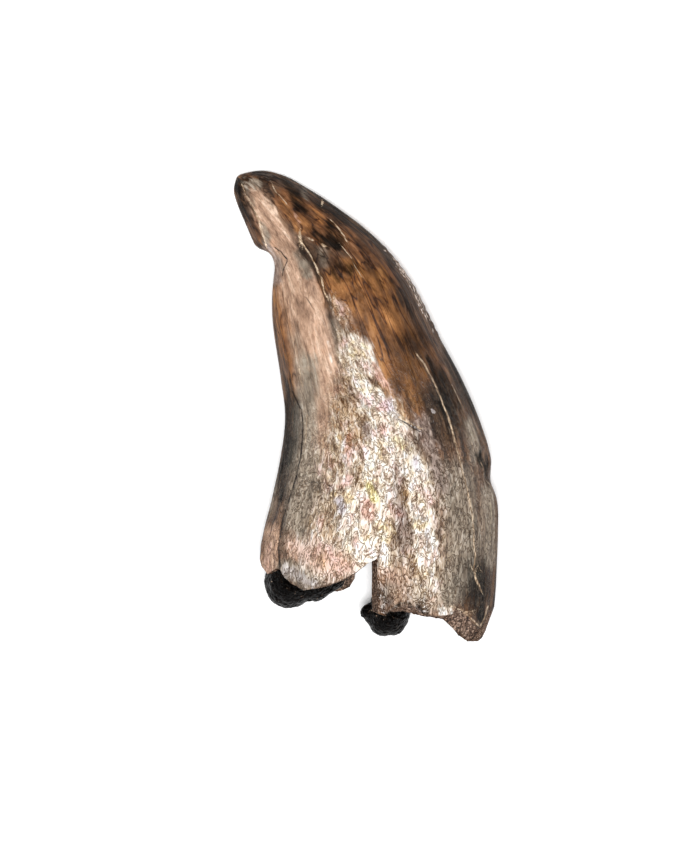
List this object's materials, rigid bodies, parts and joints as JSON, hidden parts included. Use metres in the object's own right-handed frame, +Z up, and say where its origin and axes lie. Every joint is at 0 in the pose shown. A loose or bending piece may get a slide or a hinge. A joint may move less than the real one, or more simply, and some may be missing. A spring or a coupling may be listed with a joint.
{
  "type": "fossil raptor tooth",
  "caption": "Recurved, side-flattened fossil tooth crown with a worn tip and a ragged, notched base; black matrix fills its hollow. Lies on its flatter side.",
  "frame": {"origin": "on the surface the tooth lies on, under the middle of its box", "axes": "+Z up, through the tooth's thickness; +Y from the broken base to the tip; +X towards the convex (mesial) margin"},
  "size_m": [0.0165, 0.0296, 0.0077],
  "materials": {
    "fossil_enamel": "polished brown enamel",
    "black_matrix": "granular, slightly glossy"
  },
  "bodies": {
    "root": {"tooth_crown": "fossil_enamel", "pulp_matrix": "black_matrix"}
  },
  "joints": []
}
